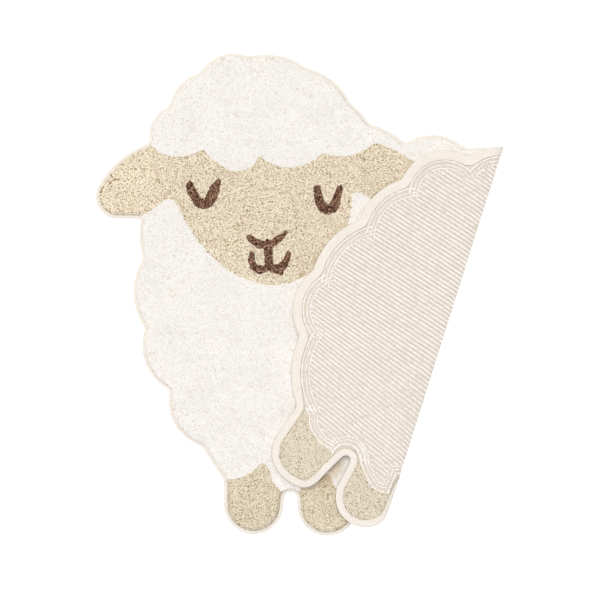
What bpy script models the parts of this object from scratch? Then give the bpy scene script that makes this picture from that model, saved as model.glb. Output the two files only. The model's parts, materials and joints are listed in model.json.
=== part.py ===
"""A child's tufted rug in the shape of a sheep, lying on a floor with its right part folded back over the pile.

It is sewn from two pieces: the tufted rug, which is canvas and pile in one, and the tape that binds its edge.
Both are made flat, cut across the fold and then laid over it. The script is in metres, +Z up, and its origin
is on the floor under the middle of the rug as it lies.
"""

import math
from collections import namedtuple

import bmesh
import bpy
import numpy as np
from mathutils import Vector, geometry

MM = 0.001

# Thicknesses and widths, in millimetres. Heights count from the underside of the flat rug.
PILE_TOP = 11.0
CANVAS = 1.4
TAPE = 1.0
TAPE_ON_BACK = 13.5
TAPE_ON_FRONT = 5.5
CLEARANCE = 0.4
SIDE_CLEARANCE = 0.7
PILE_SHOULDER = 1.7
LET_IN = 1.0

# The fold: a half turn round a straight axis, its lean from upright and one place on its outer edge.
FOLD_LEAN = math.radians(17.5)
FOLD_EDGE_AT = (223.5, -30.0)
FOLD_RADIUS = 12.0
FOLD_STEPS = 8

# How the outline is eased and divided.
EASE = 4.0
FINE_STEP = 1.5
MOST_TURN = math.radians(15.0)
MOST_STRETCH = 20.0
GRID = 42.0

# The flat outline, clockwise from above. Each run starts at x, y and bulges outwards by its rise, in
# millimetres, on the way to the next run's start. A run with a negative rise is hollow.
Run = namedtuple("Run", "x y rise")

HEAD = (
    Run(-225, 236, 12),
    Run(-195, 291, 10),
    Run(-151, 340, 15),
    Run(-75, 365, 10),
    Run(9, 348, 10),
    Run(75, 296, 2),
)
SHOULDER = (
    Run(104, 264, 4),
    Run(158, 235, 16),
    Run(247, 228, 0),
    Run(304, 230, 9),
)
RIGHT_SIDE = (
    Run(352, 181, 25),
    Run(415, 96, 11),
    Run(433, 11, 12),
    Run(446, -90, 20),
    Run(406, -182, 11),
)
RIGHT_FEET = (
    Run(349, -270, 0),
    Run(349, -325, 7),
    Run(320, -365, 5),
    Run(269, -363, 3),
    Run(258, -330, 0),
    Run(251, -293, -7),
    Run(237, -293, 0),
    Run(233, -325, 42),
    Run(143, -326, 0),
)
LEFT_FEET = (
    Run(153, -276, -10),
    Run(93, -291, 0),
    Run(86, -312, 43),
    Run(-4, -309, 0),
    Run(-4, -294, -7),
    Run(-24, -294, 0),
    Run(-25, -309, 42),
    Run(-114, -309, 0),
)
LEFT_SIDE = (
    Run(-114, -269, 1),
    Run(-147, -219, 19),
    Run(-195, -136, 19),
    Run(-232, -42, 16),
    Run(-235, 62, 4),
)
EAR = (
    Run(-238, 122, 0),
    Run(-270, 122, 18),
    Run(-302, 172, 9),
)
OUTLINE = HEAD + SHOULDER + RIGHT_SIDE + RIGHT_FEET + LEFT_FEET + LEFT_SIDE + EAR

# The rug's section, from its cut edge inwards: how far in, and the heights of its underside and top there.
Station = namedtuple("Station", "inset under over")

CANVAS_UNDER = TAPE + CLEARANCE
CANVAS_OVER = CANVAS_UNDER + CANVAS
PILE_START = TAPE_ON_FRONT + SIDE_CLEARANCE
TAPE_END = TAPE_ON_BACK + SIDE_CLEARANCE
TAPE_TOP = CANVAS_OVER + CLEARANCE + TAPE
RUG_SECTION = (
    Station(TAPE + CLEARANCE, CANVAS_UNDER, CANVAS_OVER),
    Station(PILE_START, CANVAS_UNDER, CANVAS_OVER),
    Station(PILE_START + PILE_SHOULDER, CANVAS_UNDER, PILE_TOP),
    Station(TAPE_END, CANVAS_UNDER, PILE_TOP),
    Station(TAPE_END + LET_IN, 0.0, PILE_TOP),
)

# The tape's section, folded round the canvas: inset from the cut edge, and height.
TAPE_SECTION = (
    (0.0, 0.0),
    (TAPE_ON_BACK, 0.0),
    (TAPE_ON_BACK, TAPE),
    (TAPE, TAPE),
    (TAPE, TAPE_TOP - TAPE),
    (TAPE_ON_FRONT, TAPE_TOP - TAPE),
    (TAPE_ON_FRONT, TAPE_TOP),
    (0.0, TAPE_TOP),
)

# Soft rises and troughs of the folded-back part, along straight lines on the floor plan.
Swell = namedtuple("Swell", "from_x from_y to_x to_y width height")

SWELLS = (
    Swell(235, 190, 40, -90, 22, -0.9),
    Swell(180, 200, -10, -60, 30, 1.6),
    Swell(60, -230, -30, -250, 26, 1.2),
)


def arc_points(run, end):
    """Points from a run's start up to, and without, its end."""
    start = np.array((run.x, run.y), float)
    chord = np.array(end, float) - start
    length = math.hypot(*chord)
    along = chord / length
    left = np.array((-along[1], along[0]))
    if run.rise == 0:
        count = max(1, round(length / FINE_STEP))
        return start + np.linspace(0, length, count, endpoint=False)[:, None] * along
    half = 2 * math.atan(2 * run.rise / length)
    radius = length / (2 * math.sin(half))
    turns = np.linspace(-half, half, max(2, round(2 * half * radius / FINE_STEP)), endpoint=False)
    forward = length / 2 + radius * np.sin(turns)
    sideways = radius * (np.cos(turns) - math.cos(half))
    return start + forward[:, None] * along + sideways[:, None] * left


def eased_outline():
    """The cut edge as fine, evenly spaced points with softened corners."""
    ends = OUTLINE[1:] + OUTLINE[:1]
    points = np.concatenate([arc_points(run, end[:2]) for run, end in zip(OUTLINE, ends)])
    closed = np.vstack([points, points[:1]])
    travel = np.concatenate([[0.0], np.cumsum(np.hypot(*np.diff(closed, axis=0).T))])
    places = np.linspace(0, travel[-1], round(travel[-1] / FINE_STEP), endpoint=False)
    even = np.column_stack([np.interp(places, travel, closed[:, axis]) for axis in (0, 1)])
    reach = round(3 * EASE / FINE_STEP)
    shifts = np.arange(-reach, reach + 1)
    weights = np.exp(-0.5 * (shifts * FINE_STEP / EASE) ** 2)
    return sum(w * np.roll(even, s, axis=0) for w, s in zip(weights / weights.sum(), shifts))


def unit(vectors):
    return vectors / np.hypot(*vectors.T)[:, None]


def right_of(vectors):
    return np.column_stack([vectors[:, 1], -vectors[:, 0]])


def divided(points):
    """The points of the fine outline that a faceted edge needs, closer together where it turns, and for each
    the mitred step inwards: a millimetre along it moves both edges that meet there in by a millimetre."""
    ahead = unit(np.roll(points, -1, axis=0) - np.roll(points, 1, axis=0))
    kept = [0]
    for i in range(1, len(points)):
        turned = math.acos(min(1.0, float(ahead[i] @ ahead[kept[-1]])))
        if turned > MOST_TURN or math.dist(points[i], points[kept[-1]]) > MOST_STRETCH:
            kept.append(i)
    corners = points[kept]
    arriving = unit(corners - np.roll(corners, 1, axis=0))
    leaving = unit(np.roll(corners, -1, axis=0) - corners)
    halfway = right_of(unit(arriving + leaving))
    return corners, halfway / (halfway * right_of(arriving)).sum(axis=1)[:, None]


def fold_frame():
    """A point on the fold's axis in plan, the unit vector across the fold to the right, and that along it."""
    across = np.array((math.cos(FOLD_LEAN), -math.sin(FOLD_LEAN)))
    along = np.array((-math.sin(FOLD_LEAN), -math.cos(FOLD_LEAN)))
    return np.array(FOLD_EDGE_AT) - FOLD_RADIUS * across, across, along


def swell_at(place):
    """How far the folded-back part rises or sinks at a place in plan, fading out towards the fold."""
    axis, across, _ = fold_frame()
    fade = min(1.0, max(0.0, -float((place - axis) @ across) / (3 * FOLD_RADIUS)))
    total = 0.0
    for swell in SWELLS:
        start = np.array((swell.from_x, swell.from_y), float)
        run = np.array((swell.to_x, swell.to_y), float) - start
        share = min(1.0, max(0.0, float((place - start) @ run) / float(run @ run)))
        off = math.dist(place, start + share * run)
        total += swell.height * math.exp(-0.5 * (off / swell.width) ** 2)
    return fade * fade * (3 - 2 * fade) * total


def bent(step, height):
    """How far out and how high a point lies at one of the bend's creases, from its height in the flat rug."""
    angle = math.pi * step / FOLD_STEPS
    reach = FOLD_RADIUS - height
    return np.array((reach * math.sin(angle), FOLD_RADIUS - reach * math.cos(angle)))


def laid(point):
    """Where a point of the flat rug lies once the right part is folded back. The bend is in flat facets."""
    axis, across, _ = fold_frame()
    plan = np.array((point.x, point.y))
    past = float((plan - axis) @ across)
    if past <= 0:
        return Vector(point)
    half_turn = math.pi * FOLD_RADIUS
    if past >= half_turn:
        plan = plan + (half_turn - 2 * past) * across
        return Vector((plan[0], plan[1], 2 * FOLD_RADIUS - point.z + swell_at(plan)))
    step, share = divmod(past * FOLD_STEPS / half_turn, 1)
    out, height = (1 - share) * bent(step, point.z) + share * bent(step + 1, point.z)
    plan = plan + (out - past) * across
    return Vector((plan[0], plan[1], height))


def cut_at_the_fold(shape):
    """Divides a flat solid with upright cuts across the bend, so that it can go round it."""
    axis, across, _ = fold_frame()
    for step in range(FOLD_STEPS + 1):
        place = axis + across * (math.pi * FOLD_RADIUS * step / FOLD_STEPS)
        bmesh.ops.bisect_plane(
            shape,
            geom=shape.verts[:] + shape.edges[:] + shape.faces[:],
            dist=1e-4,
            plane_co=(place[0], place[1], 0),
            plane_no=(across[0], across[1], 0),
        )


def inside(places, loop):
    """Which places lie inside a closed loop of points."""
    found = np.zeros(len(places), bool)
    for (x0, y0), (x1, y1) in zip(loop, np.roll(loop, -1, axis=0)):
        spans = (y0 > places[:, 1]) != (y1 > places[:, 1])
        crossing = x0 + (places[:, 1] - y0) * (x1 - x0) / (y1 - y0 if y1 != y0 else 1.0)
        found ^= spans & (places[:, 0] < crossing)
    return found


def grid_inside(loop):
    """Places on a square grid in line with the fold, inside a loop and clear of it."""
    axis, across, along = fold_frame()
    steps = np.arange(-40, 41) * GRID
    u, v = np.meshgrid(steps, steps)
    places = axis + u.reshape(-1, 1) * across + v.reshape(-1, 1) * along
    places = places[inside(places, loop)]
    nearest = np.array([np.hypot(*(loop - place).T).min() for place in places])
    return places[nearest > GRID * 0.45]


def flat_rug(edge, inward):
    """The tufted rug, flat: nested outlines and a grid, triangulated, with an underside and a top."""
    loops = [edge + inward * station.inset for station in RUG_SECTION]
    grid = grid_inside(loops[-1])
    corners = [Vector(place) for loop in loops for place in loop] + [Vector(place) for place in grid]
    size = len(edge)
    lines = [(k * size + i, k * size + (i + 1) % size) for k in range(len(loops)) for i in range(size)]
    places, _, faces, sources, _, _ = geometry.delaunay_2d_cdt(corners, lines, [], 1, 1e-5)
    shape = bmesh.new()
    under = [shape.verts.new((*place, 0)) for place in places]
    stations = {}
    for vert, source in zip(under, sources):
        ring = min(source[0] // size, len(RUG_SECTION) - 1)
        stations[vert.co[:2]] = RUG_SECTION[ring]
        vert.co.z = RUG_SECTION[ring].under
    for face in faces:
        shape.faces.new([under[i] for i in face])
    made = bmesh.ops.extrude_face_region(shape, geom=shape.faces[:])["geom"]
    for vert in made:
        if isinstance(vert, bmesh.types.BMVert):
            vert.co.z = stations[vert.co[:2]].over
    return shape


def flat_tape(edge):
    """The binding, flat: its folded section drawn along the cut edge."""
    section = bpy.data.curves.new("tape_section", "CURVE")
    section.dimensions = "2D"
    add_loop(section, TAPE_SECTION)
    profile = bpy.data.objects.new("tape_section", section)
    path = bpy.data.curves.new("tape_path", "CURVE")
    path.dimensions = "2D"
    path.fill_mode = "NONE"
    path.bevel_mode = "OBJECT"
    path.bevel_object = profile
    add_loop(path, edge)
    drawn = bpy.data.objects.new("tape_path", path)
    bpy.context.scene.collection.objects.link(profile)
    bpy.context.scene.collection.objects.link(drawn)
    bpy.context.view_layer.update()
    graph = bpy.context.evaluated_depsgraph_get()
    mesh = bpy.data.meshes.new_from_object(drawn.evaluated_get(graph))
    shape = bmesh.new()
    shape.from_mesh(mesh)
    bmesh.ops.remove_doubles(shape, verts=shape.verts[:], dist=1e-4)
    for leftover in (drawn, profile):
        bpy.data.objects.remove(leftover)
    bpy.data.meshes.remove(mesh)
    return shape


def add_loop(curve, places):
    spline = curve.splines.new("POLY")
    spline.points.add(len(places) - 1)
    for point, place in zip(spline.points, places):
        point.co = (place[0], place[1], 0, 1)
    spline.use_cyclic_u = True


def fold_and_scale(shape):
    """Cuts a flat solid at the fold, lays it over, and turns its millimetres into metres."""
    cut_at_the_fold(shape)
    bmesh.ops.triangulate(shape, faces=shape.faces[:])
    for vert in shape.verts:
        vert.co = laid(vert.co) * MM
    bmesh.ops.recalc_face_normals(shape, faces=shape.faces[:])


def material(name, colour, roughness):
    made = bpy.data.materials.new(name)
    made.use_nodes = True
    shader = made.node_tree.nodes["Principled BSDF"]
    shader.inputs["Base Color"].default_value = (*colour, 1)
    shader.inputs["Roughness"].default_value = roughness
    shader.inputs["Metallic"].default_value = 0.0
    return made


def cloth_object(name, shape, finish, collection):
    mesh = bpy.data.meshes.new(name)
    shape.to_mesh(mesh)
    shape.free()
    mesh.materials.append(finish)
    made = bpy.data.objects.new(name, mesh)
    collection.objects.link(made)
    return made


def centre_on_floor(pieces):
    """Moves the meshes so that the middle of the whole lies over the origin."""
    corners = np.array([vert.co[:2] for piece in pieces for vert in piece.data.vertices])
    middle = (corners.min(axis=0) + corners.max(axis=0)) / 2
    for piece in pieces:
        for vert in piece.data.vertices:
            vert.co.x -= middle[0]
            vert.co.y -= middle[1]


def main():
    for leftover in list(bpy.data.objects):
        bpy.data.objects.remove(leftover)
    collection = bpy.data.collections.new("sheep_shaped_rug")
    bpy.context.scene.collection.children.link(collection)
    edge, inward = divided(eased_outline())
    rug = flat_rug(edge, inward)
    tape = flat_tape(edge)
    pieces = []
    for name, shape, finish in (
        ("tufted_rug", rug, material("cream_cotton_pile", (0.93, 0.90, 0.84), 0.95)),
        ("edge_binding", tape, material("ecru_cotton_tape", (0.88, 0.82, 0.72), 0.9)),
    ):
        fold_and_scale(shape)
        pieces.append(cloth_object(name, shape, finish, collection))
    centre_on_floor(pieces)


main()
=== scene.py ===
"""The looks of a child's tufted rug in the shape of a sheep, its right part folded back over the pile.

Every piece is made flat, as the rug was cut and sewn, and is then laid over the same fold as its solid. Heights
of the flat rug count from its underside. Sizes in the tables are in millimetres, all others in metres.
"""

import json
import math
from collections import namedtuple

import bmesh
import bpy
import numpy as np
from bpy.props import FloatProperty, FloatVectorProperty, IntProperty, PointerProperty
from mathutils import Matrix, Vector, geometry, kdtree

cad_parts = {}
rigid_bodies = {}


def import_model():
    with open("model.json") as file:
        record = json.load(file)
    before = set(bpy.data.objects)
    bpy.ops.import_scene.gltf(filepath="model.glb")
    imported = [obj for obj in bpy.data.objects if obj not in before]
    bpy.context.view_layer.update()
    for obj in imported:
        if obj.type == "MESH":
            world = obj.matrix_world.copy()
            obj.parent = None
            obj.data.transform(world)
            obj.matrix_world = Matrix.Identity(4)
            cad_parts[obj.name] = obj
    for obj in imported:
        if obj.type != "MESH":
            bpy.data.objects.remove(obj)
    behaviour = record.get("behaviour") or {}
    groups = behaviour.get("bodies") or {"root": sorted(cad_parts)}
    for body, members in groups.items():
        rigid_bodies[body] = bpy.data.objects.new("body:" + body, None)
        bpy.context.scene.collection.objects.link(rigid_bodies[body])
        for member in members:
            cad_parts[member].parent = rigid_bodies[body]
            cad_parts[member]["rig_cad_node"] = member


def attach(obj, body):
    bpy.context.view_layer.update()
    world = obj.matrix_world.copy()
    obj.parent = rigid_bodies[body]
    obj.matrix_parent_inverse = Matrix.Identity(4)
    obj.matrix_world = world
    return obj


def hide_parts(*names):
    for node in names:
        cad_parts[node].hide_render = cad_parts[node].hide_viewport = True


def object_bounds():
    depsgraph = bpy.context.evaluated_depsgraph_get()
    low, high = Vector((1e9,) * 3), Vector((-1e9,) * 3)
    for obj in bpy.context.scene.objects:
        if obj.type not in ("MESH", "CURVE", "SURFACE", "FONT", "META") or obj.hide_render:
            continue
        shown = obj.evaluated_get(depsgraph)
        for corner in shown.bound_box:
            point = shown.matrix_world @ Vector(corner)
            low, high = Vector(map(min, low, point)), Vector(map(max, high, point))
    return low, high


bl_info = {
    "name": "Sheep Shaped Tufted Rug",
    "version": (1, 0, 0),
    "blender": (4, 5, 0),
    "location": "3D View > Sidebar > Tufted Rug",
    "description": "Makes a tufted rug in the shape of a sheep, with its binding, pile and stitched back",
    "category": "Object",
}

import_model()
CAD_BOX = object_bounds()

MM = 0.001
BODY = "root"

# The rug's heights and widths, as its solids have them.
PILE_TOP = 11.0 * MM
CANVAS_UNDER = 0.9 * MM
CANVAS_OVER = 2.4 * MM
CANVAS_EDGE = 1.5 * MM
TAPE_ON_BACK = 13.5 * MM
TAPE_ON_FRONT = 5.5 * MM

# A tuft stands this tall from inside the pile's bed and is widest at this share of its height.
TUFT_LENGTH = 4.0 * MM
TUFT_RING = 0.62

# The fold: a half turn round a straight axis.
FOLD_LEAN = math.radians(17.5)
FOLD_EDGE_AT = np.array((223.5, -30.0)) * MM
FOLD_RADIUS = 12.0 * MM

# How finely the outline is eased and divided.
EASE = 4.0 * MM
FINE_STEP = 1.5 * MM

# The grid inside a flat piece: its step where the rug bends, how far it reaches from the fold's axis, across it
# and along it, and the distance under which two points are one.
BEND_STEP = 2 * MM
GRID_ACROSS = 0.75
GRID_ALONG = 0.5
WELD = 1e-7

# How much of a bake map's width its faces fill, and the rim beside them.
BAKE_FILL = 0.98
BAKE_RIM = 0.01

# How far in the random tufts begin, how much rounder the beige pile's shoulder is, how far brown pile spreads
# past its stroke, and how far in from an edge the pile can be seen under the folded part and inside the fold.
FIELD_INSET = 8.2 * MM
BEIGE_SHOULDER = 2.4 * MM
STROKE_SPREAD = 0.6 * MM
SHOWN_BAND = 26 * MM

# The short bent dashes along which the pile is parted: how many, their step, their area's two corners, and the
# reach of each.
DASHES = 520
DASH_STEP = 0.8 * MM
DASH_AREA = ((-0.34, -0.37), (0.46, 0.38))
DASH_REACH = 0.9 * MM

# The waves to the metre of a material's noises, and the yarn ends to the metre.
FIBRE_WAVES = 1700.0
CLUMP_WAVES = 420.0
CLOUD_WAVES = 22.0
YARN_ENDS = 650.0

# The tape's step along the edge, how many puckers of each kind it has, the middle and half the height of its
# turn round the edge, and how much narrower it is on the feet, from which level down and over what fade.
TAPE_STEP = 2.6 * MM
PUCKERS = (37, 95, 131, 173, 223)
TAPE_MIDDLE = 2.1 * MM
TAPE_TURN = 1.6 * MM
FOOT_NARROWING = 3.0 * MM
FEET_FROM = -250 * MM
FEET_FADE = 25 * MM

# The level of the stitches on the back, and where along a row its slope starts and how far it goes on each way.
ROW_LEVEL = 0.72 * MM
SLOPE_FROM = 300 * MM
SLOPE_REACH = (-130 * MM, 150 * MM)

# The stage: half the floor's width, where the lamp is and how wide it spreads.
FLOOR_HALF = 6.0
LAMP_AT = (-0.4, 0.45, 2.4)
LAMP_SPREAD = math.radians(55)

# A run starts at x, y and bulges to the left of its travel by its rise on the way to the next run's start.
Run = namedtuple("Run", "x y rise")

OUTLINE = (
    # the wool on the head
    Run(-225, 236, 12), Run(-195, 291, 10), Run(-151, 340, 15), Run(-75, 365, 10), Run(9, 348, 10),
    Run(75, 296, 2),
    # the shoulder
    Run(104, 264, 4), Run(158, 235, 16), Run(247, 228, 0), Run(304, 230, 9),
    # the right side, which is folded back
    Run(352, 181, 25), Run(415, 96, 11), Run(433, 11, 12), Run(446, -90, 20), Run(406, -182, 11),
    # the two feet that are folded back
    Run(349, -270, 0), Run(349, -325, 7), Run(320, -365, 5), Run(269, -363, 3), Run(258, -330, 0),
    Run(251, -293, -7), Run(237, -293, 0), Run(233, -325, 42), Run(143, -326, 0),
    # the two feet that lie flat
    Run(153, -276, -10), Run(93, -291, 0), Run(86, -312, 43), Run(-4, -309, 0), Run(-4, -294, -7),
    Run(-24, -294, 0), Run(-25, -309, 42), Run(-114, -309, 0),
    # the left side
    Run(-114, -269, 1), Run(-147, -219, 19), Run(-195, -136, 19), Run(-232, -42, 16), Run(-235, 62, 4),
    # the left ear
    Run(-238, 122, 0), Run(-270, 122, 18), Run(-302, 172, 9),
)

# Where the beige pile lies. Past the cut edge a loop runs wide of the rug.
FACE = (
    # the wool's scallops over the forehead
    Run(-225, 236, 0), Run(-211, 221, -9), Run(-147, 226, -2), Run(-108, 196, -11), Run(-61, 216, -20),
    Run(34, 221, -12), Run(109, 235, 9),
    # the right ear
    Run(204, 176, 18), Run(172, 127, 0), Run(139, 127, 0), Run(116, 143, 0), Run(95, 158, -4),
    # the right cheek, chin and left cheek
    Run(79, 158, 1), Run(70, 106, 6), Run(20, 43, 5), Run(-43, 22, 7), Run(-124, 58, 3),
    Run(-172, 118, -1), Run(-190, 150, -2),
    # the left ear
    Run(-206, 148, 0), Run(-215, 138, 0), Run(-234, 128, 0), Run(-240, 110, 0), Run(-330, 110, 0),
    Run(-330, 240, 0),
)
FEET = (
    (
        Run(-118, -268, -1), Run(-88, -266, -2), Run(-58, -244, 4), Run(-44, -262, -3), Run(-26, -287, 0),
        Run(-14, -296, 0), Run(-14, -370, 0), Run(-130, -370, 0),
    ),
    (
        Run(-14, -294, 0), Run(-2, -286, 0), Run(9, -272, -3), Run(33, -264, 3), Run(48, -264, -2),
        Run(56, -283, -3), Run(74, -292, 0), Run(110, -292, 0), Run(110, -370, 0), Run(-14, -370, 0),
    ),
    (
        Run(130, -283, 0), Run(152, -287, -5), Run(187, -306, -3), Run(232, -278, 0), Run(244, -272, 0),
        Run(244, -370, 0), Run(130, -370, 0),
    ),
    (
        Run(246, -308, 0), Run(262, -303, 2), Run(274, -295, -3), Run(304, -291, -3), Run(326, -273, 2),
        Run(345, -266, 0), Run(380, -262, 0), Run(380, -370, 0), Run(246, -370, 0),
    ),
)

# The closed eyes, the nose and the mouth: lines of brown pile, each place with the line's width there.
STROKES = (
    # the left eye and the right eye
    ((-165, 172, 10), (-163, 166, 12), (-158, 155, 13), (-152, 146, 13), (-145, 143, 13), (-138, 145, 15),
     (-132, 153, 16), (-128, 164, 14), (-125, 171, 11), (-122, 176, 8)),
    ((26, 166, 11), (27, 157, 12), (29, 147, 13), (34, 139, 14), (42, 136, 15), (50, 139, 14),
     (54, 148, 12), (57, 158, 10), (60, 167, 9)),
    # the nose's two arms and its stem
    ((-74, 92, 10), (-63, 85, 12), (-49, 81, 12)),
    ((-21, 101, 5), (-28, 94, 9), (-37, 88, 10), (-46, 81, 11)),
    ((-48, 82, 16), (-48, 70, 11), (-47, 58, 12), (-47, 50, 12)),
    # the mouth's left half, its right half and the corner under that
    ((-72, 69, 6), (-73, 60, 10), (-70, 51, 11), (-61, 45, 11), (-52, 47, 10), (-47, 50, 10)),
    ((-47, 50, 10), (-41, 47, 12), (-31, 46, 13), (-23, 53, 11), (-20, 60, 9), (-17, 70, 6)),
    ((-33, 45, 9), (-28, 40, 5)),
)

# The middle and reach of the notch between the two folded feet. The pile below it is tinted darker and warmer,
# a painted shade, because it shows darker and warmer in the photograph than it comes out in this stage's light.
NOTCH = (44, -243)
NOTCH_SHADE_REACH = (20, 20)

# How far from the folded edge the cream is paler, a painted light against the shadow of the folded part, and
# where the left ear's paler beige begins, how soon it is full there and how much paler it is.
PAINTED_LIGHT_REACH = 6 * MM
EAR_FROM = -205 * MM
EAR_REACH = 30 * MM
EAR_MOST = 0.6

# The rows of tufts along the pile's edge: inset and height in millimetres with, between them, the share of the
# beige pile's rounder shoulder, and after them the lean outwards and the tallness.
EDGE_TUFTS = ((7.9, 1.0, 6.4, 0.2, 1.0), (7.3, 0.6, 5.0, 0.5, 1.1), (7.0, 0.2, 3.4, 1.0, 0.85))

# Soft rises and troughs of the folded-back part, along straight lines on the floor plan.
Swell = namedtuple("Swell", "from_x from_y to_x to_y width height")

SWELLS = (
    Swell(235, 190, 40, -90, 22, -0.9),
    Swell(180, 200, -10, -60, 30, 1.6),
    Swell(60, -230, -30, -250, 26, 1.2),
)


# ---- The cut outline and the fold


def chord_of(run, end, scale=1.0):
    """Where a run starts, how far off the next one does, and the unit vectors towards that and to the left."""
    start = np.array((run.x, run.y)) * scale
    chord = np.array(end[:2]) * scale - start
    length = math.hypot(*chord)
    along = chord / length
    return start, length, along, np.array((-along[1], along[0]))


def round_pairs(row):
    """Each item of a closed row with the one after it."""
    return zip(row, row[1:] + row[:1])


def arc_points(run, end):
    """Points from a run's start up to, and without, its end, in millimetres."""
    start, length, along, left = chord_of(run, end)
    step = FINE_STEP / MM
    if run.rise == 0:
        return start + np.linspace(0, length, max(1, round(length / step)), endpoint=False)[:, None] * along
    half = 2 * math.atan(2 * run.rise / length)
    radius = length / (2 * math.sin(half))
    turns = np.linspace(-half, half, max(2, round(2 * half * radius / step)), endpoint=False)
    forward = length / 2 + radius * np.sin(turns)
    sideways = radius * (np.cos(turns) - math.cos(half))
    return start + forward[:, None] * along + sideways[:, None] * left


def loop_points(runs):
    """A closed loop of runs as fine points, in metres."""
    return np.concatenate([arc_points(run, end) for run, end in round_pairs(runs)]) * MM


def evenly(line, step, closed=True):
    """A line divided anew into equal steps near the one asked for. What follows x and y goes with them."""
    whole = np.vstack([line, line[:1]]) if closed else line
    travel = np.concatenate([[0.0], np.cumsum(np.hypot(*np.diff(whole[:, :2], axis=0).T))])
    count = max(2, round(travel[-1] / step))
    places = np.linspace(0, travel[-1], count + (not closed), endpoint=not closed)
    return np.column_stack([np.interp(places, travel, column) for column in whole.T])


def eased(loop):
    """A closed loop with its corners softened, in even fine steps."""
    even = evenly(loop, FINE_STEP)
    reach = round(3 * EASE / FINE_STEP)
    shifts = np.arange(-reach, reach + 1)
    weights = np.exp(-0.5 * (shifts * FINE_STEP / EASE) ** 2)
    return sum(w * np.roll(even, s, axis=0) for w, s in zip(weights / weights.sum(), shifts))


def unit(vectors):
    return vectors / np.linalg.norm(vectors, axis=-1, keepdims=True)


def inward_of(loop):
    """The unit vectors into a clockwise loop, at each of its points."""
    ahead = unit(np.roll(loop, -1, axis=0) - np.roll(loop, 1, axis=0))
    return np.column_stack([ahead[:, 1], -ahead[:, 0]])


def inset_loop(distance, step=FINE_STEP):
    """The line this far inside the cut edge."""
    return evenly(CUT_EDGE + distance * inward_of(CUT_EDGE), step)


def inside(places, loop):
    """Which places lie inside a closed loop of points."""
    found = np.zeros(len(places), bool)
    for (x0, y0), (x1, y1) in zip(loop, np.roll(loop, -1, axis=0)):
        spans = (y0 > places[:, 1]) != (y1 > places[:, 1])
        crossing = x0 + (places[:, 1] - y0) * (x1 - x0) / (y1 - y0 if y1 != y0 else 1.0)
        found ^= spans & (places[:, 0] < crossing)
    return found


def distance_to(line, places):
    """How far each place is from the nearest point of a finely divided line, in plan."""
    tree = kdtree.KDTree(len(line))
    for i, (x, y) in enumerate(line):
        tree.insert((x, y, 0), i)
    tree.balance()
    return np.array([tree.find((x, y, 0))[2] for x, y in places])


ACROSS = np.array((math.cos(FOLD_LEAN), -math.sin(FOLD_LEAN)))
ALONG = np.array((-math.sin(FOLD_LEAN), -math.cos(FOLD_LEAN)))
AXIS = FOLD_EDGE_AT - FOLD_RADIUS * ACROSS
HALF_TURN = math.pi * FOLD_RADIUS
CUT_EDGE = eased(loop_points(OUTLINE))


def past_fold(places):
    """How far past the start of the fold each place of the flat rug is."""
    return (places[:, :2] - AXIS) @ ACROSS


def smooth(share):
    """A share from 0 to 1 that starts and ends gently."""
    return share * share * (3 - 2 * share)


def swell_at(places):
    """How far the folded-back part rises or sinks at each place in plan, fading out towards the fold."""
    fade = np.clip(-past_fold(places) / (3 * FOLD_RADIUS), 0, 1)
    total = np.zeros(len(places))
    for swell in SWELLS:
        start = np.array((swell.from_x, swell.from_y)) * MM
        run = np.array((swell.to_x, swell.to_y)) * MM - start
        share = np.clip((places - start) @ run / (run @ run), 0, 1)
        off = np.linalg.norm(places - (start + share[:, None] * run), axis=1)
        total += swell.height * MM * np.exp(-0.5 * (off / (swell.width * MM)) ** 2)
    return smooth(fade) * total


def laid(flat):
    """Where points of the flat rug lie on the floor once its right part is folded back."""
    past = past_fold(flat)
    angle = np.clip(past / FOLD_RADIUS, 0, math.pi)
    reach = FOLD_RADIUS - flat[:, 2]
    out = np.where(past > 0, reach * np.sin(angle), past) - np.clip(past - HALF_TURN, 0, None)
    plan = flat[:, :2] + (out - past)[:, None] * ACROSS
    height = np.where(past > 0, FOLD_RADIUS - reach * np.cos(angle), flat[:, 2])
    height += np.where(past > HALF_TURN, swell_at(plan), 0)
    return np.column_stack([plan, height])


def at_height(places, height):
    return np.column_stack([places, np.full(len(places), height)])


EDGE_AS_LAID = laid(at_height(CUT_EDGE, 0.0))[:, :2]
TO_FRAME = np.array((*((CAD_BOX[0] + CAD_BOX[1]) / 2)[:2], 0.0))
TO_FRAME[:2] -= (EDGE_AS_LAID.min(axis=0) + EDGE_AS_LAID.max(axis=0)) / 2


def ripple(places, wavelength, seed, waves=14):
    """A smooth uneven field over the flat rug, mostly between -1 and 1."""
    draw = np.random.default_rng(seed)
    shortest, spread, gain = 0.7, 0.8, 0.6
    total = np.zeros(len(places))
    for turn, start, stretch in zip(*draw.uniform(0, 1, (3, waves))):
        way = np.array((math.cos(math.tau * turn), math.sin(math.tau * turn)))
        length = wavelength * (shortest + spread * stretch)
        total += np.sin(places @ way * math.tau / length + math.tau * start)
    return total * math.sqrt(2 / waves) * gain


# ---- Meshes


def piece_of(data, name):
    """An object of a mesh, a lamp or a camera, in the scene."""
    made = bpy.data.objects.new(name, data)
    bpy.context.scene.collection.objects.link(made)
    return made


def point_mesh(name, places, edges=(), **fields):
    """A mesh of loose points, or of lines, with a number or a vector at each."""
    mesh = bpy.data.meshes.new(name)
    mesh.from_pydata(places, edges, [])
    for field, values in fields.items():
        values = np.asarray(values, np.float32)
        kind, slot = ("FLOAT", "value") if values.ndim == 1 else ("FLOAT_VECTOR", "vector")
        mesh.attributes.new(field, kind, "POINT").data.foreach_set(slot, values.ravel())
    return piece_of(mesh, name)


def ring_edges(count, start=0):
    """The edges of a closed ring of points that are numbered on from a start."""
    return [(start + i, start + (i + 1) % count) for i in range(count)]


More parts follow.
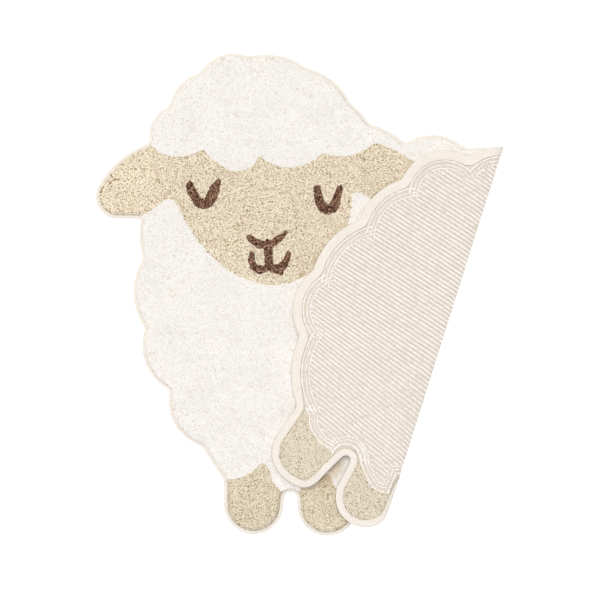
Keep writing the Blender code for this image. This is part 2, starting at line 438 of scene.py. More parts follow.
def line_mesh(name, lines, height, closed=False):
    """A mesh of separate lines at one height, for stitches to follow."""
    places = np.concatenate([at_height(line, height) for line in lines])
    starts = np.concatenate([[0], np.cumsum([len(line) for line in lines])])
    edges = []
    for start, stop in zip(starts[:-1], starts[1:]):
        edges += ring_edges(stop - start, start)[:None if closed else -1]
    return point_mesh(name, places, edges)


def corners_of(mesh):
    """For each corner of each face, its vertex and its face."""
    vertex = np.empty(len(mesh.loops), np.int32)
    mesh.loops.foreach_get("vertex_index", vertex)
    sides = np.empty(len(mesh.polygons), np.int32)
    mesh.polygons.foreach_get("loop_total", sides)
    return vertex, np.repeat(np.arange(len(sides)), sides)


def places_of(mesh):
    places = np.empty(len(mesh.vertices) * 3, np.float32)
    mesh.vertices.foreach_get("co", places)
    return places.reshape(-1, 3).astype(float)


def add_map(mesh, name, places):
    """Stores a place on the map for each corner of each face."""
    mesh.uv_layers.new(name=name).data.foreach_set("uv", np.asarray(places, np.float32).ravel())


def plan_maps(mesh, over):
    """The map that the weave follows, in metres of flat cloth, and one to bake on, where the faces that are
    over the cloth lie beside those under it."""
    vertex, face = corners_of(mesh)
    flat = places_of(mesh)[vertex, :2]
    add_map(mesh, "cloth", flat)
    low = flat.min(axis=0)
    share = (flat - low) / np.ptp(flat, axis=0)
    share[:, 0] = (share[:, 0] * BAKE_FILL + over[face] + BAKE_RIM) / 2
    add_map(mesh, "OFBake", share)


def triangulated(places, edges):
    """The points, edges and triangles inside the outermost edges, and from which points each point is."""
    return geometry.delaunay_2d_cdt([Vector(p) for p in places], edges, [], 1, WELD)


def slab(name, loops, step, under, over, lines=()):
    """A flat closed solid: nested loops and a grid in line with the fold, triangulated, with its top and
    underside at the heights that two functions give for the nested loops' numbers, the inside being last."""
    drawn = [*loops, *lines]
    starts = np.cumsum([0] + [len(line) for line in drawn])
    bend = np.arange(0, HALF_TURN, BEND_STEP)
    plain = np.arange(step, GRID_ACROSS, step)
    along = np.arange(-GRID_ALONG, GRID_ALONG, step)
    u, v = np.meshgrid(np.concatenate([-plain, bend, HALF_TURN + plain]), along)
    grid = AXIS + u.reshape(-1, 1) * ACROSS + v.reshape(-1, 1) * ALONG
    grid = grid[inside(grid, loops[-1])]
    grid = grid[distance_to(np.concatenate([loops[-1], *lines]), grid) > step * 0.4]
    edges = [edge for start, line in zip(starts, drawn) for edge in ring_edges(len(line), start)]
    found = triangulated(np.concatenate([*drawn, grid]), edges)
    flat = np.array([tuple(p) for p in found[0]])
    ring = np.array([min(np.searchsorted(starts, s[0], "right") - 1, len(loops)) if s else len(loops)
                     for s in found[3]])
    faces = np.array(found[2])
    a, b, c = flat[faces].transpose(1, 0, 2)
    turned = np.cross(b - a, c - a) < 0
    faces[turned] = faces[turned][:, ::-1]
    sides = np.concatenate([faces[:, [0, 1]], faces[:, [1, 2]], faces[:, [2, 0]]])
    once = {}
    for start, end in sides.tolist():
        if once.pop((end, start), None) is None:
            once[(start, end)] = True
    rim = np.array(list(once))
    count = len(flat)
    walls = np.column_stack([rim[:, 1], rim[:, 0], rim[:, 0] + count, rim[:, 1] + count])
    mesh = bpy.data.meshes.new(name)
    solid = np.concatenate([np.column_stack([flat, side(flat, ring)]) for side in (under, over)])
    mesh.from_pydata(solid, [], [*faces[:, ::-1].tolist(), *(faces + count).tolist(), *walls.tolist()])
    is_over = np.zeros(len(mesh.polygons))
    is_over[len(faces):2 * len(faces)] = 1
    plan_maps(mesh, is_over)
    return mesh


def settle(made, smooth=True):
    """Lays a flat piece over the fold and moves it into the frame."""
    mesh = made.data
    places = laid(places_of(mesh)) + TO_FRAME
    mesh.vertices.foreach_set("co", places.astype(np.float32).ravel())
    mesh.polygons.foreach_set("use_smooth", [smooth] * len(mesh.polygons))
    mesh.update()
    return made


def join_the_rug(made):
    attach(made, BODY)
    return made


# ---- Node trees, for geometry and for materials


def add(tree, kind, settings=None, inputs=None):
    """Adds a node. A setting is a property of the node, an input a value or another node's output."""
    node = tree.nodes.new(kind)
    for name, value in (settings or {}).items():
        setattr(node, name, value)
    for name, value in (inputs or {}).items():
        socket = node.inputs[name] if isinstance(name, int) else next(
            s for s in node.inputs if s.name == name and s.enabled
        )
        if isinstance(value, bpy.types.NodeSocket):
            tree.links.new(value, socket)
        else:
            socket.default_value = value
    return node


def first(node, name=None):
    """The output of a node that is in use, or the one with this name."""
    return next(s for s in node.outputs if s.enabled and name in (None, s.name))


def math_of(tree, operation, *values):
    node = add(tree, "ShaderNodeMath", {"operation": operation}, dict(enumerate(values)))
    return node.outputs[0]


def vector_of(tree, operation, *values):
    node = add(tree, "ShaderNodeVectorMath", {"operation": operation}, dict(enumerate(values)))
    return first(node)


def new_tree(name, inputs):
    """A geometry node tree with these named inputs, and the node that gives them."""
    tree = bpy.data.node_groups.new(name, "GeometryNodeTree")
    tree.interface.new_socket("Geometry", in_out="OUTPUT", socket_type="NodeSocketGeometry")
    tree.interface.new_socket("Geometry", in_out="INPUT", socket_type="NodeSocketGeometry")
    for label, kind in inputs.items():
        tree.interface.new_socket(label, in_out="INPUT", socket_type="NodeSocket" + kind)
    return tree, tree.nodes.new("NodeGroupInput").outputs


def end_tree(tree, shape, finish):
    """Realizes what a tree made, gives it its material and puts it out."""
    real = add(tree, "GeometryNodeRealizeInstances", None, {"Geometry": shape})
    worn = add(tree, "GeometryNodeSetMaterial", None, {"Geometry": real.outputs[0], "Material": finish})
    add(tree, "NodeGroupOutput", None, {"Geometry": worn.outputs[0]})


def grown(source, tree, name, **values):
    """Runs a tree on a source object and returns the result as a plain object. The source is removed."""
    modifier = source.modifiers.new(tree.name, "NODES")
    modifier.node_group = tree
    for item in tree.interface.items_tree:
        key = item.name.lower().replace(" ", "_")
        if item.in_out == "INPUT" and key in values:
            modifier[item.identifier] = values[key]
    bpy.context.view_layer.update()
    graph = bpy.context.evaluated_depsgraph_get()
    mesh = bpy.data.meshes.new_from_object(source.evaluated_get(graph))
    mesh.name = name
    worn = [finish for finish in mesh.materials if finish]
    mesh.materials.clear()
    for finish in worn:
        mesh.materials.append(finish)
    mesh.polygons.foreach_set("material_index", [0] * len(mesh.polygons))
    source.modifiers.clear()
    bpy.data.objects.remove(source)
    return piece_of(mesh, name)


def random_value(tree, low, high, seed):
    return first(add(tree, "FunctionNodeRandomValue", {"data_type": "FLOAT"},
                     {"Min": low, "Max": high, "Seed": seed}))


def near_one(tree, unevenness, seed):
    """A random number that differs from 1 by no more than the unevenness."""
    low, high = (math_of(tree, way, 1.0, unevenness) for way in ("SUBTRACT", "ADD"))
    return random_value(tree, low, high, seed)


def field_of(tree, name, kind="FLOAT"):
    """What a mesh holds under a name, in a geometry tree."""
    return first(add(tree, "GeometryNodeInputNamedAttribute", {"data_type": kind}, {"Name": name}))


def turned_instances(tree, points, shape, aim, axis, pivot, spin, scale):
    """Instances on points, with one axis along a vector and then spun round their own Z."""
    aimed = add(tree, "FunctionNodeAlignRotationToVector", {"axis": axis, "pivot_axis": pivot}, {"Vector": aim})
    own = add(tree, "ShaderNodeCombineXYZ", None, {"Z": spin})
    own = add(tree, "FunctionNodeEulerToRotation", None, {0: own.outputs[0]})
    turned = add(tree, "FunctionNodeRotateRotation", {"rotation_space": "LOCAL"},
                 {0: aimed.outputs[0], 1: own.outputs[0]})
    placed = add(tree, "GeometryNodeInstanceOnPoints", None, {
        "Points": points,
        "Instance": shape,
        "Rotation": turned.outputs[0],
        "Scale": scale,
    })
    return placed.outputs[0]


def with_shade(tree, instances, seed):
    """Gives each instance a number from 0 to 1 that its material reads."""
    kept = add(tree, "GeometryNodeStoreNamedAttribute", {"data_type": "FLOAT", "domain": "INSTANCE"},
               {"Geometry": instances, "Name": "shade", "Value": random_value(tree, 0.0, 1.0, seed)})
    return kept.outputs[0]


def scatter_tree():
    """Points spread evenly but at random over a surface, no two closer than the spacing."""
    tree, given = new_tree("tuft_places", {"Spacing": "Float", "Density": "Float", "Seed": "Int"})
    spread = add(tree, "GeometryNodeDistributePointsOnFaces", {"distribute_method": "POISSON"}, {
        "Mesh": given["Geometry"],
        "Distance Min": given["Spacing"],
        "Density Max": given["Density"],
        "Seed": given["Seed"],
    })
    points = add(tree, "GeometryNodePointsToVertices", None, {"Points": spread.outputs["Points"]})
    real = add(tree, "GeometryNodeRealizeInstances", None, {"Geometry": points.outputs[0]})
    add(tree, "NodeGroupOutput", None, {"Geometry": real.outputs[0]})
    return tree


def tuft_tree():
    """A tuft on each point, along the point's lean, of uneven width and height."""
    tree, given = new_tree("tufts", {
        "Tuft": "Object",
        "Width": "Float",
        "Height": "Float",
        "Unevenness": "Float",
        "Seed": "Int",
        "Finish": "Material",
    })
    tuft = add(tree, "GeometryNodeObjectInfo", {"transform_space": "ORIGINAL"}, {"Object": given["Tuft"]})
    width = math_of(tree, "MULTIPLY", given["Width"], near_one(tree, given["Unevenness"], given["Seed"]))
    height_share = 0.35
    uneven = math_of(tree, "MULTIPLY", given["Unevenness"], height_share)
    height = math_of(tree, "MULTIPLY", given["Height"], field_of(tree, "tall"))
    height = math_of(tree, "MULTIPLY", height, near_one(tree, uneven, math_of(tree, "ADD", given["Seed"], 1.0)))
    scale = add(tree, "ShaderNodeCombineXYZ", None, {"X": width, "Y": width, "Z": height})
    spin = random_value(tree, 0.0, math.tau, math_of(tree, "ADD", given["Seed"], 2.0))
    placed = turned_instances(tree, given["Geometry"], first(tuft, "Geometry"),
                              field_of(tree, "lean", "FLOAT_VECTOR"), "Z", "AUTO", spin, scale.outputs[0])
    end_tree(tree, with_shade(tree, placed, math_of(tree, "ADD", given["Seed"], 3.0)), given["Finish"])
    return tree


def stitch_tree():
    """Stitches at an even pitch along lines, each a small bead turned a little off the line."""
    tree, given = new_tree("stitches", {
        "Pitch": "Float",
        "Length": "Float",
        "Width": "Float",
        "Thickness": "Float",
        "Slant": "Float",
        "Unevenness": "Float",
        "Seed": "Int",
        "Finish": "Material",
    })
    curve = add(tree, "GeometryNodeMeshToCurve", None, {"Mesh": given["Geometry"]})
    steps = add(tree, "GeometryNodeResampleCurve", {"mode": "LENGTH"},
                {"Curve": curve.outputs[0], "Length": given["Pitch"]})
    bead = add(tree, "GeometryNodeMeshIcoSphere", None, {"Radius": 0.5, "Subdivisions": 1})
    tangent = add(tree, "GeometryNodeInputTangent")
    size = near_one(tree, given["Unevenness"], given["Seed"])
    scale = add(tree, "ShaderNodeCombineXYZ", None, {
        "X": math_of(tree, "MULTIPLY", given["Length"], size),
        "Y": math_of(tree, "MULTIPLY", given["Width"], size),
        "Z": given["Thickness"],
    })
    turn_share = 1.2
    wobble = math_of(tree, "MULTIPLY", given["Unevenness"], turn_share)
    spin = math_of(tree, "ADD", given["Slant"], random_value(
        tree, math_of(tree, "MULTIPLY", wobble, -1.0), wobble, math_of(tree, "ADD", given["Seed"], 1.0)))
    placed = turned_instances(tree, steps.outputs[0], bead.outputs["Mesh"], tangent.outputs[0], "X", "Z", spin,
                              scale.outputs[0])
    end_tree(tree, with_shade(tree, placed, math_of(tree, "ADD", given["Seed"], 2.0)), given["Finish"])
    return tree


def band_tree():
    """A band of one section along a closed path: a grid whose rows follow the path and whose columns follow
    the section. The section's points give how far in from the path and how high they lie. The path's narrowing
    draws in the points that count as far, and its pucker lifts those that are slack."""
    tree, given = new_tree("band", {
        "Section": "Object",
        "Path Points": "Int",
        "Section Points": "Int",
        "Path Length": "Float",
        "Section Length": "Float",
        "Finish": "Material",
    })
    rows = math_of(tree, "ADD", given["Path Points"], 1.0)
    columns = math_of(tree, "ADD", given["Section Points"], 1.0)
    grid = add(tree, "GeometryNodeMeshGrid", None, {"Vertices X": rows, "Vertices Y": columns})
    # The parts of a step added below keep a number that is a little off from falling into the step before.
    index = add(tree, "GeometryNodeInputIndex").outputs[0]
    row = math_of(tree, "FLOOR", math_of(tree, "DIVIDE", math_of(tree, "ADD", index, 0.5), columns))
    column = math_of(tree, "SUBTRACT", index, math_of(tree, "MULTIPLY", row, columns))
    on_path = math_of(tree, "FLOORED_MODULO", math_of(tree, "ADD", row, 0.25), given["Path Points"])
    on_section = math_of(tree, "FLOORED_MODULO", math_of(tree, "ADD", column, 0.25), given["Section Points"])
    position = add(tree, "GeometryNodeInputPosition").outputs[0]
    section = add(tree, "GeometryNodeObjectInfo", {"transform_space": "ORIGINAL"}, {"Object": given["Section"]})
    sampled = []
    for shape, field, kind, at in (
        (given["Geometry"], position, "FLOAT_VECTOR", on_path),
        (given["Geometry"], "inward", "FLOAT_VECTOR", on_path),
        (given["Geometry"], "pucker", "FLOAT", on_path),
        (given["Geometry"], "narrowing", "FLOAT", on_path),
        (first(section, "Geometry"), position, "FLOAT_VECTOR", on_section),
        (first(section, "Geometry"), "slack", "FLOAT", on_section),
        (first(section, "Geometry"), "far", "FLOAT", on_section),
    ):
        if isinstance(field, str):
            field = field_of(tree, field, kind)
        sampled.append(first(add(tree, "GeometryNodeSampleIndex", {"data_type": kind, "domain": "POINT"},
                                 {"Geometry": shape, "Index": at, "Value": field})))
    place, inward, pucker, narrowing, profile, slack, far = sampled
    parts = add(tree, "ShaderNodeSeparateXYZ", None, {0: profile})
    inset = math_of(tree, "SUBTRACT", parts.outputs[0], math_of(tree, "MULTIPLY", narrowing, far))
    along_in = add(tree, "ShaderNodeVectorMath", {"operation": "SCALE"}, {0: inward, "Scale": inset})
    rise = math_of(tree, "ADD", parts.outputs[1], math_of(tree, "MULTIPLY", pucker, slack))
    up = add(tree, "ShaderNodeCombineXYZ", None, {"Z": rise})
    there = vector_of(tree, "ADD", vector_of(tree, "ADD", place, first(along_in)), up.outputs[0])
    bent = add(tree, "GeometryNodeSetPosition", None, {"Geometry": grid.outputs["Mesh"], "Position": there})
    sizes = add(tree, "ShaderNodeCombineXYZ", None, {"X": given["Path Length"], "Y": given["Section Length"]})
    flat = vector_of(tree, "MULTIPLY", grid.outputs["UV Map"], sizes.outputs[0])
    mapped = add(tree, "GeometryNodeStoreNamedAttribute", {"data_type": "FLOAT2", "domain": "CORNER"},
                 {"Geometry": bent.outputs[0], "Name": "cloth", "Value": flat})
    joined = add(tree, "GeometryNodeMergeByDistance", None, {"Geometry": mapped.outputs[0], "Distance": 1e-6})
    end_tree(tree, joined.outputs[0], given["Finish"])
    return tree


# ---- Materials


def principled(name, roughness, sheen):
    """A material with its shader, and the tree that colours it."""
    made = bpy.data.materials.new(name)
    made.use_nodes = True
    shader = made.node_tree.nodes["Principled BSDF"]
    shader.inputs["Roughness"].default_value = roughness
    shader.inputs["Sheen Weight"].default_value = sheen
    shader.inputs["Sheen Roughness"].default_value = 0.5
    shader.inputs["Specular IOR Level"].default_value = 0.2
    return made, made.node_tree, shader


def attribute_of(tree, name):
    """A number that a piece's mesh holds under a name, in a material."""
    return first(add(tree, "ShaderNodeAttribute", {"attribute_name": name}), "Fac")


def noise_of(tree, scale, detail=2.0):
    """A noise over the object, with so many waves to the metre."""
    place = add(tree, "ShaderNodeTexCoord").outputs["Object"]
    node = add(tree, "ShaderNodeTexNoise", None, {"Vector": place, "Scale": scale, "Detail": detail})
    return node.outputs[0]


def ranged(tree, value, low, high):
    """A number from 0 to 1 spread between two others."""
    return add(tree, "ShaderNodeMapRange", None, {"Value": value, "To Min": low, "To Max": high}).outputs[0]


def ramp_of(tree, factor, stops):
    """A colour that runs through stops, each a place and a colour."""
    node = add(tree, "ShaderNodeValToRGB", None, {0: factor})
    elements = node.color_ramp.elements
    for place, colour in stops[2:]:
        elements.new(place)
    for element, (place, colour) in zip(elements, stops):
        element.position = place
        element.color = (*colour, 1)
    return node.outputs[0]


def times(tree, colour, *factors):
    """A colour made darker or lighter by numbers."""
    for factor in factors:
        node = add(tree, "ShaderNodeVectorMath", {"operation": "SCALE"}, {0: colour, "Scale": factor})
        colour = first(node)
    return colour


def dressed(tree, shader, colour, height, distance):
    """Gives a shader its colour and a bump of a height from 0 to 1 times a distance."""
    bump = add(tree, "ShaderNodeBump", None, {"Height": height, "Distance": distance, "Strength": 1.0})
    tree.links.new(bump.outputs[0], shader.inputs["Normal"])
    tree.links.new(colour, shader.inputs["Base Color"])


def grains_of(tree):
    """Yarn ends: a number for each and how far each place is from its end's middle."""
    place = add(tree, "ShaderNodeTexCoord").outputs["Object"]
    cells = add(tree, "ShaderNodeTexVoronoi", None, {"Vector": place, "Scale": YARN_ENDS})
    own = add(tree, "ShaderNodeSeparateColor", None, {0: first(cells, "Color")}).outputs[0]
    return own, first(cells, "Distance")


def speckle(tree, grain, share):
    """A number from 0 to 1, partly the tuft's or stitch's own and for this share that of its yarn ends."""
    own = attribute_of(tree, "shade")
    return first(add(tree, "ShaderNodeMix", {"data_type": "FLOAT"}, {"Factor": share, "A": own, "B": grain}))


def faded(colour, amount):
    """A colour made deeper and a little browner by an amount from 0 to 1, or paler by one below 0."""
    bent = (1.0, 1.25, 1.8) if amount > 0 else (1.0, 1.08, 1.18)
    return tuple(min(1.0, c * max(0.03, 1 - amount) ** k) for c, k in zip(colour, bent))


def flecked(colour, contrast, pale):
    """Stops of a ramp for flecked yarn: few ends are much darker than its colour, many a little paler."""
    steps = ((0.0, 3.6), (0.08, 2.4), (0.25, 0.85), (0.55, 0.0))
    return *((place, faded(colour, share * contrast)) for place, share in steps), (1.0, faded(colour, -pale))


def pile_finish(name, colour, contrast, pale, clumped):
    """Cotton pile: tufts of uneven shade, each deeper towards its root, a painted shade where shade falls
    between tufts, in clumps of like ones as far as it is clumped, with strings of dark ones where it is parted,
    a painted shade in the partings. A tint over it holds painted light beside the folded edge, the notch's
    painted shade and the ear's paler tone."""
    made, tree, shader = principled(name, 0.95, 0.2)
    clump = add(tree, "ShaderNodeMapRange", None, {
        "Value": noise_of(tree, CLUMP_WAVES, 0.0),
        "From Min": 0.3,
        "From Max": 0.7,
    })
    # Parted tufts are darker: painted shade in the partings.
    painted_shade_where_parted = -0.35
    tone = math_of(tree, "MULTIPLY_ADD", attribute_of(tree, "parted"), painted_shade_where_parted,
                   speckle(tree, clump.outputs[0], clumped))
    # Each tuft darker towards its root: painted shade between the tufts.
    rise = add(tree, "ShaderNodeMapRange", None, {
        "Value": attribute_of(tree, "rise"),
        "From Min": TUFT_RING,
        "From Max": 0.9,
        "To Min": 1 - contrast,
        "To Max": 1.0,
    })
    coloured = times(
        tree,
        ramp_of(tree, tone, flecked(colour, contrast, pale)),
        rise.outputs[0],
        ranged(tree, noise_of(tree, CLOUD_WAVES), 1 - 0.2 * contrast, 1 + 0.2 * contrast),
    )
    # Painted light and shade: 0 is the paler cream by the folded edge and the paler ear, 0.5 the plain pile, 1
    # the notch's painted warm shade.
    painted_light_and_ear_tints = ((0.0, (1, 1, 1)), (0.5, (0.9, 0.9, 0.9)), (1.0, (0.71, 0.6, 0.43)))
    painted_light_and_ear_tint = ramp_of(tree, attribute_of(tree, "warmth"), painted_light_and_ear_tints)
    dressed(tree, shader, vector_of(tree, "MULTIPLY", coloured, painted_light_and_ear_tint), noise_of(tree, FIBRE_WAVES), 0.4 * MM)
    return made


def weave_height(tree, pitch):
    """A plain weave's height over the cloth's own map: threads that pass over and under each other."""
    place = add(tree, "ShaderNodeUVMap", {"uv_map": "cloth"}).outputs[0]
    parts = add(tree, "ShaderNodeSeparateXYZ", None, {0: place})
    waves = [
        math_of(tree, "SINE", math_of(tree, "MULTIPLY", parts.outputs[axis], math.tau / pitch))
        for axis in (0, 1)
    ]
    crossing = math_of(tree, "MULTIPLY", *waves)
    return math_of(tree, "MULTIPLY_ADD", crossing, 0.5, 0.5)


def cloth_finish(name, colour, pitch, depth, contrast):
    """Woven cotton: a fine plain weave of uneven, flecked thread, the cloth faintly clouded."""
    made, tree, shader = principled(name, 0.9, 0.3)
    weave = weave_height(tree, pitch)
    grain, _ = grains_of(tree)
    # Where the weave is low the cloth is darker: painted shade between the threads.
    coloured = times(
        tree,
        ramp_of(tree, weave, ((0.0, faded(colour, contrast)), (1.0, colour))),
        ranged(tree, grain, 1 - contrast, 1 + contrast),
        ranged(tree, noise_of(tree, 18.0), 0.98, 1.02),
        ranged(tree, noise_of(tree, 90.0), 0.96, 1.04),
    )
    dressed(tree, shader, coloured, weave, depth)
    return made


def yarn_finish(name, colour, contrast, pale):
    """Yarn in stitches: each stitch has its own shade, and flecks."""
    made, tree, shader = principled(name, 0.9, 0.25)
    grain, off = grains_of(tree)
    coloured = ramp_of(tree, speckle(tree, grain, 0.7), flecked(colour, contrast, pale))
    dressed(tree, shader, coloured, math_of(tree, "SUBTRACT", 1.0, off), 0.4 * MM)
    return made


# ---- What a user would change


def a_length(name, description, millimetres):
    """A length to set. Its default is given in millimetres."""
    return FloatProperty(name=name, description=description, default=millimetres * MM, unit="LENGTH")


def a_colour(name, description, colour):
    return FloatVectorProperty(name=name, description=description, default=colour, subtype="COLOR")


class PileSettings(bpy.types.PropertyGroup):
    """The tufted face of the rug."""

    spacing: a_length("Tuft spacing", "Least distance between two tufts", 1.12)
    edge_pitch: a_length("Edge pitch", "Step of the rows of tufts along the pile's edge", 1.5)
    width: a_length("Tuft width", "Width of a tuft where it spreads", 3.5)
    unevenness: FloatProperty(
        name="Unevenness", description="How much tufts differ in size", default=0.16, subtype="FACTOR"
    )
    lean: FloatProperty(
        name="Lean", description="How far brushed tufts lean", default=math.radians(9), subtype="ANGLE"
    )
    cream: a_colour("Cream", "The wool of the head and body", (0.94, 0.885, 0.835))
    beige: a_colour("Beige", "The face and ears", (0.905, 0.76, 0.59))
    foot_beige: a_colour("Foot beige", "The feet", (0.82, 0.71, 0.545))
    brown: a_colour("Brown", "The eyes, nose and mouth", (0.265, 0.128, 0.074))
    seed: IntProperty(name="Seed", description="Draws the places and shades of the tufts", default=7)


class BackSettings(bpy.types.PropertyGroup):
    """The canvas and the rows of stitches that show on the back."""

    row_spacing: a_length("Row spacing", "Distance between two rows of stitches", 5.9)
    pitch: a_length("Stitch pitch", "Step from stitch to stitch along a row", 4.1)
    length: a_length("Stitch length", "Length of one stitch", 7.0)
    width: a_length("Stitch width", "Width of one stitch", 3.8)
    contour_rows: IntProperty(
        name="Contour rows", description="Rows that follow the scalloped edge", default=3, min=2
    )
    contour_spacing: a_length("Contour spacing", "Distance between contour rows", 4.5)
    canvas: a_colour("Canvas", "The cloth that the yarn is tufted through", (0.68, 0.59, 0.505))
    yarn: a_colour("Yarn", "The stitches behind the wool", (0.88, 0.808, 0.747))
    foot_yarn: a_colour("Foot yarn", "The stitches behind the feet", (0.75, 0.66, 0.515))


class TapeSettings(bpy.types.PropertyGroup):
    """The tape that binds the edge, and its sewing."""

    thickness: a_length("Thickness", "Thickness of the tape", 0.9)
    pucker: a_length("Pucker", "How far the tape puckers between its two seams", 0.5)
    sewing_pitch: a_length("Sewing pitch", "Step from stitch to stitch of the seam", 3.4)
    colour: a_colour("Tape", "Colour of the tape", (0.76, 0.683, 0.605))
    # The back seam's tan is partly the thread's own colour and partly painted shadow along the tape's inner
    # edge.
    back_thread: a_colour("Back thread", "Colour of the seam on the back", (0.70, 0.57, 0.43))


class StageSettings(bpy.types.PropertyGroup):
    """The floor, the light and the camera."""

    field: FloatProperty(
        name="Field", description="Width of floor that the camera sees", default=0.9, unit="LENGTH"
    )
    lens: FloatProperty(name="Lens", description="Focal length in millimetres", default=150.0, subtype="NONE")
    floor: a_colour("Floor", "Colour of the floor", (0.95, 0.95, 0.95))
    glow: FloatProperty(name="Floor glow", description="How strongly the floor itself shines", default=0.45)
    light: a_colour("Light", "Colour of the light, a little cool", (0.945, 0.975, 1.0))
    dome: FloatProperty(name="Dome", description="Strength of the light from all round", default=0.62)
    lamp: FloatProperty(name="Lamp", description="Strength of the large soft lamp", default=2.5)


class RugSettings(bpy.types.PropertyGroup):
    """All that the rug is made from."""

    pile: PointerProperty(type=PileSettings)
    back: PointerProperty(type=BackSettings)
    tape: PointerProperty(type=TapeSettings)
    stage: PointerProperty(type=StageSettings)


# ---- The binding


def tape_section(thickness):
    """The tape's section round the canvas, as points with inset and height, how slack each is and how far in
    on the back. It runs along the outer surface from the back to the front, and back along the inner one."""
    middle, turn, half = TAPE_MIDDLE, TAPE_TURN, thickness / 2
    round_steps, turn_slack, far_from, tip = 7, 0.3, 0.3, 0.75
    line = [(TAPE_ON_BACK, 0.55 * MM, 0), (TAPE_ON_BACK - 1.4 * MM, 0.75 * MM, 0)]
    line += [(inset * MM, middle - turn, slack) for inset, slack in ((9.5, 0.7), (6.5, 1.0), (3.8, 0.7))]
    for angle in np.linspace(0, math.pi, round_steps):
        line.append((turn + half - turn * math.sin(angle), middle - turn * math.cos(angle), turn_slack))
    line += [(3.4 * MM, middle + turn, 0.2), (TAPE_ON_FRONT - 1.0 * MM, middle + turn - 0.2 * MM, 0)]
    line.append((TAPE_ON_FRONT, middle + turn - 0.1 * MM, 0))
    line = np.array(line)
    ahead = unit(np.gradient(line[:, :2], axis=0))
    out = np.column_stack([-ahead[:, 1], ahead[:, 0]]) * half
    if out[0, 1] > 0:
        out = -out
    outer = line[:, :2] + out
    inner = line[:, :2] - out
    tips = [line[i, :2] + tip * half * unit(line[i, :2] - line[j, :2]) for i, j in ((-1, -2), (0, 1))]
    places = np.vstack([outer, tips[:1], inner[::-1], tips[1:]])
    slack = np.concatenate([line[:, 2], [0], line[::-1, 2], [0]])
    far = np.clip(places[:, 0] / TAPE_ON_BACK - far_from, 0, 1) / (1 - far_from) * (places[:, 1] < middle)
    return places, slack, far


def narrowing_at(places):
    """How much narrower than elsewhere the tape is on the back of the feet."""
    share = np.clip((FEET_FROM - places[:, 1]) / FEET_FADE, 0, 1)
    return FOOT_NARROWING * smooth(share)


class RUG_OT_binding(bpy.types.Operator):
    """Folds a tape round the cut edge of the rug"""

    bl_idname = "sheep_rug.binding"
    bl_label = "Edge Binding"

    def execute(self, context):
        tape = context.scene.sheep_rug.tape
        path = inset_loop(0.0, TAPE_STEP)
        travel = np.arange(len(path)) * math.dist(path[0], path[1])
        whole = travel[-1] + travel[1]
        draw = np.random.default_rng(3)
        pucker = np.zeros(len(path))
        for waves in PUCKERS:
            pucker += np.sin(math.tau * (waves * travel / whole + draw.uniform())) * draw.uniform(0.5, 1.0) / 3
        source = point_mesh(
            "tape_path", at_height(path, 0.0), inward=at_height(inward_of(path), 0.0),
            pucker=np.clip(pucker, -0.1, None) * tape.pucker, narrowing=narrowing_at(path),
        )
        places, slack, far = tape_section(tape.thickness)
        section = point_mesh("tape_section", at_height(places, 0.0), slack=slack, far=far)
        around = np.linalg.norm(places - np.roll(places, 1, axis=0), axis=1).sum()
        finish = cloth_finish("ecru_cotton_tape", tape.colour, 1.1 * MM, 0.18 * MM, 0.05)
        made = grown(
            source, band_tree(), "edge_tape",
            section=section, path_points=len(path), section_points=len(places),
            path_length=whole, section_length=around, finish=finish,
        )
        bpy.data.objects.remove(section)
        face_outwards(made.data)
        join_the_rug(settle(made))
        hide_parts("edge_binding")
        return {"FINISHED"}


def face_outwards(mesh):
    """Turns a closed mesh's faces round if they point inwards."""
    shape = bmesh.new()
    shape.from_mesh(mesh)
    if shape.calc_volume(signed=True) < 0:
        bmesh.ops.reverse_faces(shape, faces=shape.faces[:])
        shape.to_mesh(mesh)
    shape.free()


class RUG_OT_sewing(bpy.types.Operator):
    """Sews the binding down, with a seam on the back and one on the front"""

    bl_idname = "sheep_rug.sewing"
    bl_label = "Binding Seams"

    def execute(self, context):
        tape = context.scene.sheep_rug.tape
        back_inset = (TAPE_ON_BACK + 0.1 * MM - narrowing_at(CUT_EDGE))[:, None]
        back_line = evenly(CUT_EDGE + back_inset * inward_of(CUT_EDGE), 2 * MM)
        front_line = inset_loop(TAPE_ON_FRONT - 0.9 * MM, 2 * MM)
        # The back seam's tan is partly the thread's own colour and partly painted shadow along the tape's inner
        # edge.
        seams = (
            ("back_seam", back_line, 0.5 * MM, 1.4 * MM, tape.back_thread, 0.25),
            ("front_seam", front_line, 3.95 * MM, 0.6 * MM, tape.colour, 0.05),
        )
        for name, line, height, width, colour, contrast in seams:
            made = grown(
                line_mesh(name + "_line", [line], height, closed=True), stitch_tree(), name,
                pitch=tape.sewing_pitch, length=tape.sewing_pitch * 1.05, width=width, thickness=0.8 * MM,
                slant=0.0, unevenness=0.06, seed=21,
                finish=yarn_finish(name + "_thread", colour, contrast, contrast),
            )
            bake_map_from_above(made.data)
            join_the_rug(settle(made))
        return {"FINISHED"}


def bake_map_from_above(mesh):
    """A map to bake on: the flat rug from above, as far as this piece reaches."""
    vertex, _ = corners_of(mesh)
    flat = places_of(mesh)[vertex, :2]
    add_map(mesh, "OFBake", BAKE_RIM + BAKE_FILL * (flat - flat.min(axis=0)) / np.ptp(flat, axis=0))


# ---- The back


def row_tilt(heights):
    """How much the rows on the back slope, where they lie on the rug: the cloth is bowed towards its feet."""
    return np.interp(heights, (-190 * MM, -139 * MM, -60 * MM), (0.07, 0.0, -0.044))


def sloped_row(along, level):
    """A line across the back at one level, sloped as the rows there are."""
    swing = np.clip(along - SLOPE_FROM, *SLOPE_REACH)
    return np.column_stack([along, level + row_tilt(level) * swing])


def runs_of(line, kept, shortest=3):
    """The unbroken stretches of a line whose points are kept."""
    found, start = [], None
    for i, keep in enumerate([*kept, False]):
        if keep and start is None:
            start = i
        elif not keep and start is not None:
            if i - start >= shortest:
                found.append(line[start:i])
            start = None
    return found


